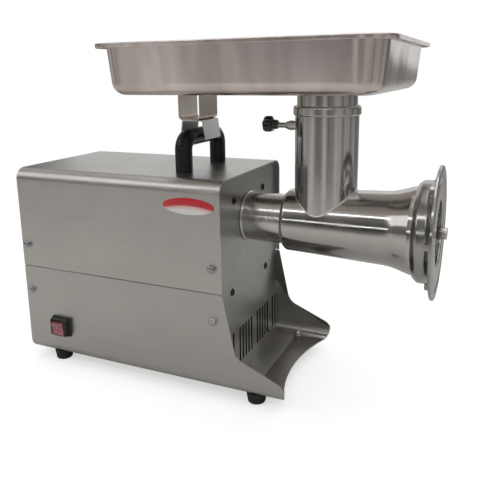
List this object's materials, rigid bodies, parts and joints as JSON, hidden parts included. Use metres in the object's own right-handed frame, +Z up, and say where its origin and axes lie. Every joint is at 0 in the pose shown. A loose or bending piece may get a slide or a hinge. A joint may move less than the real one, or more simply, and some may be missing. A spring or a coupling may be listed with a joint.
{
  "type": "electric meat grinder",
  "caption": "Bench-top electric meat grinder: steel housing with motor and gearbox, polished grinding head and a large feed tray.",
  "frame": {"origin": "on the table, under the middle of the whole machine", "axes": "+X from the rear panel towards the grinding ring, +Z up, the switch and badge on the side at -Y"},
  "size_m": [0.52, 0.267, 0.396],
  "materials": {
    "satin_steel": "satin, brushed along the machine",
    "polished_steel": "mirror polished stainless steel",
    "tray_steel": "polished pressed stainless sheet",
    "bright_fastener": "zinc bright",
    "black_steel": "blackened",
    "black_handle": "semi-gloss black coating",
    "black_plastic": "fine grain",
    "black_rubber": "matt",
    "red_rocker": "gloss",
    "red_badge": "gloss print over white",
    "cast_aluminium": "as cast",
    "gear_steel": "ground and oiled",
    "core_steel": "varnished laminations",
    "copper": "enamelled copper wire",
    "bronze": "bronze",
    "white_can": "gloss",
    "tool_steel": "ground"
  },
  "bodies": {
    "root": {"base_tray": "satin_steel", "top_cover": "satin_steel", "front_plate": "satin_steel", "rear_panel": "satin_steel", "rubber_feet": "black_rubber", "foot_screws": "bright_fastener", "foot_nuts": "bright_fastener", "front_bolts": "black_steel", "carry_handle": "black_handle", "handle_screws": "bright_fastener", "switch_frame": "black_plastic", "name_badge": "red_badge", "cable_gland": "black_plastic", "gland_locknut": "black_plastic", "side_screws": "bright_fastener", "side_washers": "bright_fastener", "gearbox_case": "cast_aluminium", "gearbox_cover": "cast_aluminium", "gearbox_screws": "black_steel", "output_bearings": "gear_steel", "idler_bearings": "gear_steel", "oil_seal": "black_rubber", "motor_case": "cast_aluminium", "motor_front_bell": "cast_aluminium", "motor_rear_bell": "cast_aluminium", "motor_bearings": "gear_steel", "stator_core": "core_steel", "stator_windings": "copper", "motor_mount": "cast_aluminium", "capacitor": "white_can", "capacitor_clip": "bright_fastener", "neck_tube": "polished_steel", "head_barrel": "polished_steel", "feed_tube": "polished_steel", "auger_bush": "bronze", "plate_key": "bright_fastener", "tray_lock_boss": "polished_steel", "head_lock_boss": "polished_steel"},
    "auger_line": {"output_gear": "gear_steel", "output_shaft": "gear_steel", "auger": "polished_steel", "cutter_knife": "tool_steel"},
    "idler": {"idler_shaft": "gear_steel", "idler_gear": "gear_steel"},
    "rotor": {"motor_shaft": "gear_steel", "rotor_core": "core_steel", "cooling_fan": "black_plastic"},
    "rocker": {"switch_rocker": "red_rocker"},
    "tray": {"feed_tray": "tray_steel", "tray_throat": "polished_steel", "tray_bracket": "tray_steel", "tray_saddle": "tray_steel"},
    "tray_lock_slide": {"tray_lock_pad": "bright_fastener"},
    "tray_lock": {"tray_lock_screw": "bright_fastener", "tray_lock_knob": "black_plastic"},
    "head_lock_slide": {"head_lock_pad": "bright_fastener"},
    "head_lock": {"head_lock_screw": "bright_fastener", "head_lock_knob": "black_plastic"},
    "plate": {"grinding_plate": "tool_steel"},
    "ring": {"ring_nut": "polished_steel"}
  },
  "joints": [
    {"name": "auger_spin", "type": "hinge", "parent": "root", "child": "auger_line", "pos_m": [0.039, 0, 0.197], "axis": [1, 0, 0], "continuous": true},
    {"name": "idler_spin", "type": "hinge", "parent": "root", "child": "idler", "pos_m": [-0.011, 0, 0.141], "axis": [1, 0, 0], "continuous": true},
    {"name": "rotor_spin", "type": "hinge", "parent": "root", "child": "rotor", "pos_m": [-0.121, 0, 0.1005], "axis": [1, 0, 0], "continuous": true},
    {"name": "rocker_tilt", "type": "hinge", "parent": "root", "child": "rocker", "pos_m": [-0.1878, -0.092, 0.0535], "axis": [-1, 0, 0], "range_deg": [0, 20]},
    {"name": "tray_lift", "type": "slide", "parent": "root", "child": "tray", "axis": [0, 0, 1], "range_m": [0, 0.08]},
    {"name": "tray_lock_travel", "type": "slide", "parent": "root", "child": "tray_lock_slide", "axis": [-1, 0, 0], "range_m": [0, 0.004]},
    {"name": "tray_lock_turn", "type": "hinge", "parent": "tray_lock_slide", "child": "tray_lock", "pos_m": [0.079, 0, 0.306], "axis": [-1, 0, 0], "range_deg": [0, 1440]},
    {"name": "head_lock_travel", "type": "slide", "parent": "root", "child": "head_lock_slide", "axis": [0, 1, 0], "range_m": [0, 0.00375]},
    {"name": "head_lock_turn", "type": "hinge", "parent": "head_lock_slide", "child": "head_lock", "pos_m": [0.064, 0.05, 0.197], "axis": [0, 1, 0], "range_deg": [0, 1080]},
    {"name": "plate_pull", "type": "slide", "parent": "root", "child": "plate", "axis": [1, 0, 0], "range_m": [0, 0.015]},
    {"name": "ring_turn", "type": "hinge", "parent": "plate", "child": "ring", "pos_m": [0.239, 0, 0.197], "axis": [1, 0, 0], "range_deg": [0, 1800]}
  ],
  "couplings": [
    {"joint": "idler_spin", "follows": "auger_spin", "ratio": -2.7333},
    {"joint": "rotor_spin", "follows": "auger_spin", "ratio": 7.8095},
    {"joint": "tray_lock_turn", "follows": "tray_lock_travel", "rad_per_m": 6283.2},
    {"joint": "head_lock_turn", "follows": "head_lock_travel", "rad_per_m": 5026.5},
    {"joint": "plate_pull", "follows": "ring_turn", "m_per_rad": 0.00047746}
  ]
}
